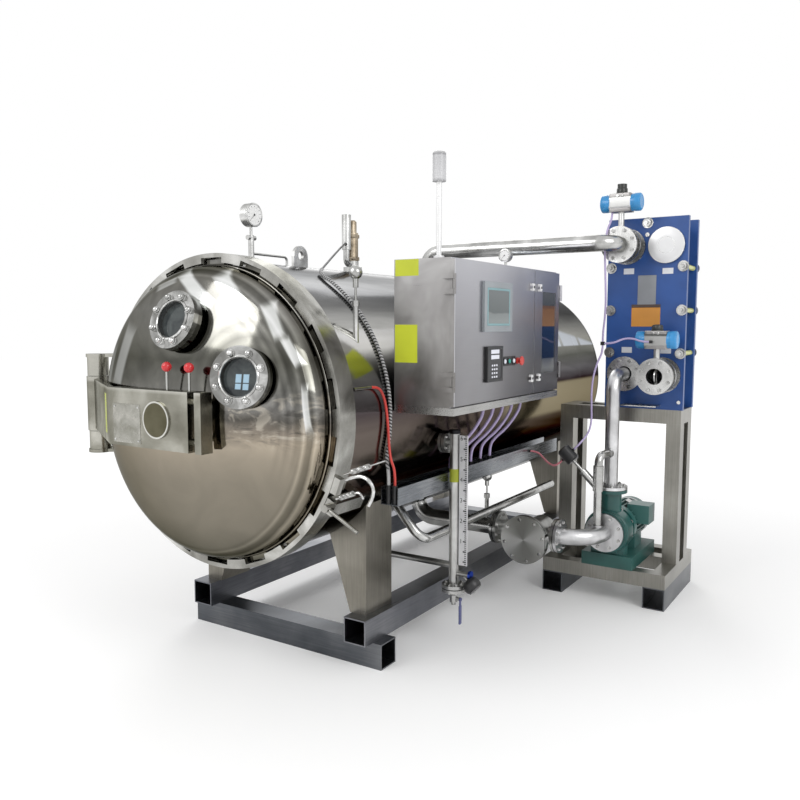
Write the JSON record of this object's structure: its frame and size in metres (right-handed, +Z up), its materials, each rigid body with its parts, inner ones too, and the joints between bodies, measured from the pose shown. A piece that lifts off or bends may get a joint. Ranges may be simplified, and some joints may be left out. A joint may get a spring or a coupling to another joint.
{
  "type": "retort sterilizer",
  "caption": "Horizontal steam retort on a skid: toothed quick-opening dished door, control cabinet, plate heat exchanger and pump stand.",
  "frame": {"origin": "on the floor, under the vessel axis, at the front cross tube of the skid", "axes": "+Y along the vessel from its door to the rear head, +X towards the control cabinet, +Z up"},
  "size_m": [2.3459, 3.748, 2.338],
  "materials": {
    "mirror_steel": "polished",
    "brushed_steel": "satin",
    "frame_steel": "satin",
    "cabinet_steel": "satin",
    "blue_paint": "semi-gloss",
    "teal_paint": "semi-gloss",
    "cast_grey": "matte",
    "aluminium": "satin",
    "blue_plastic": "gloss",
    "red_plastic": "gloss",
    "black_plastic": "matte",
    "grey_plastic": "satin",
    "white_plastic": "gloss",
    "lilac_hose": "satin",
    "glass": "clear",
    "brass": "satin"
  },
  "bodies": {
    "frame": {"actuator_caps": "blue_plastic", "air_hoses": "lilac_hose", "alarm_light": "white_plastic", "angle_seat_valve": "brushed_steel", "cabinet_body": "cabinet_steel", "cabinet_hoses": "lilac_hose", "cabinet_mounting_plate": "brushed_steel", "cabinet_supports": "brushed_steel", "exchanger_end_plates": "blue_paint", "exchanger_flanges": "brushed_steel", "gauge_scale": "white_plastic", "hinge_bracket": "brushed_steel", "hose_glands": "black_plastic", "hose_tray": "brushed_steel", "insulation_jacket": "mirror_steel", "interlock_bracket": "brushed_steel", "level_gauge": "brushed_steel", "lifting_lugs": "brushed_steel", "overhead_pipe": "brushed_steel", "plate_pack": "brushed_steel", "pressure_gauges": "brushed_steel", "pressure_shell": "mirror_steel", "pressure_transmitter": "mirror_steel", "pump_base": "brushed_steel", "pump_casing": "teal_paint", "pump_motor": "teal_paint", "pump_pipes": "brushed_steel", "rear_head": "mirror_steel", "red_hose": "red_plastic", "saddle_legs": "brushed_steel", "safety_valve": "brass", "skid_cross_tubes": "frame_steel", "skid_rails": "frame_steel", "sleeved_cable": "black_plastic", "stand_feet": "brushed_steel", "stand_frame": "brushed_steel", "steam_line": "brushed_steel", "suction_tee": "brushed_steel", "temperature_probes": "mirror_steel", "tie_bolts": "brushed_steel", "valve_actuators": "aluminium", "valve_grips": "black_plastic", "vessel_outlet_pipe": "brushed_steel", "wafer_valves": "cast_grey"},
    "lock_ring": {"lock_ring": "mirror_steel"},
    "door": {"door_dish": "mirror_steel", "sight_glass_rings": "mirror_steel", "sight_glass_panes": "glass", "door_arm": "brushed_steel", "arm_knobs": "red_plastic"},
    "interlock_lever": {"interlock_lever": "brushed_steel"},
    "drain_lever": {"drain_lever": "blue_plastic"},
    "left_cabinet_door": {"cabinet_door_left": "cabinet_steel", "operator_panel": "grey_plastic", "door_controls": "black_plastic"},
    "right_cabinet_door": {"cabinet_door_right": "cabinet_steel", "cabinet_window": "glass"},
    "valve_disc": {"valve_disc": "brushed_steel"}
  },
  "joints": [
    {"name": "lock_ring_turn", "type": "hinge", "parent": "frame", "child": "lock_ring", "pos_m": [0, -0.376, 1.182], "axis": [0, -1, 0], "range_deg": [0, 10]},
    {"name": "door_swing", "type": "hinge", "parent": "frame", "child": "door", "pos_m": [-0.8, -0.413, 1.182], "axis": [0, 0, -1], "range_deg": [0, 110]},
    {"name": "interlock_lever_turn", "type": "hinge", "parent": "frame", "child": "interlock_lever", "pos_m": [0.63748, -0.44, 0.84732], "axis": [0, 1, 0], "range_deg": [0, 90]},
    {"name": "drain_lever_turn", "type": "hinge", "parent": "frame", "child": "drain_lever", "pos_m": [0.7543, 0.435, 0.236], "axis": [1, 0, 0], "range_deg": [0, 90]},
    {"name": "left_cabinet_door_swing", "type": "hinge", "parent": "frame", "child": "left_cabinet_door", "pos_m": [0.974, -0.045, 1.53], "axis": [0, 0, -1], "range_deg": [0, 110]},
    {"name": "right_cabinet_door_swing", "type": "hinge", "parent": "frame", "child": "right_cabinet_door", "pos_m": [0.974, 1.113, 1.53], "axis": [0, 0, 1], "range_deg": [0, 110]},
    {"name": "valve_disc_turn", "type": "hinge", "parent": "frame", "child": "valve_disc", "pos_m": [1.368, 1.5467, 1.284], "axis": [0, 0, 1], "range_deg": [0, 90]}
  ]
}
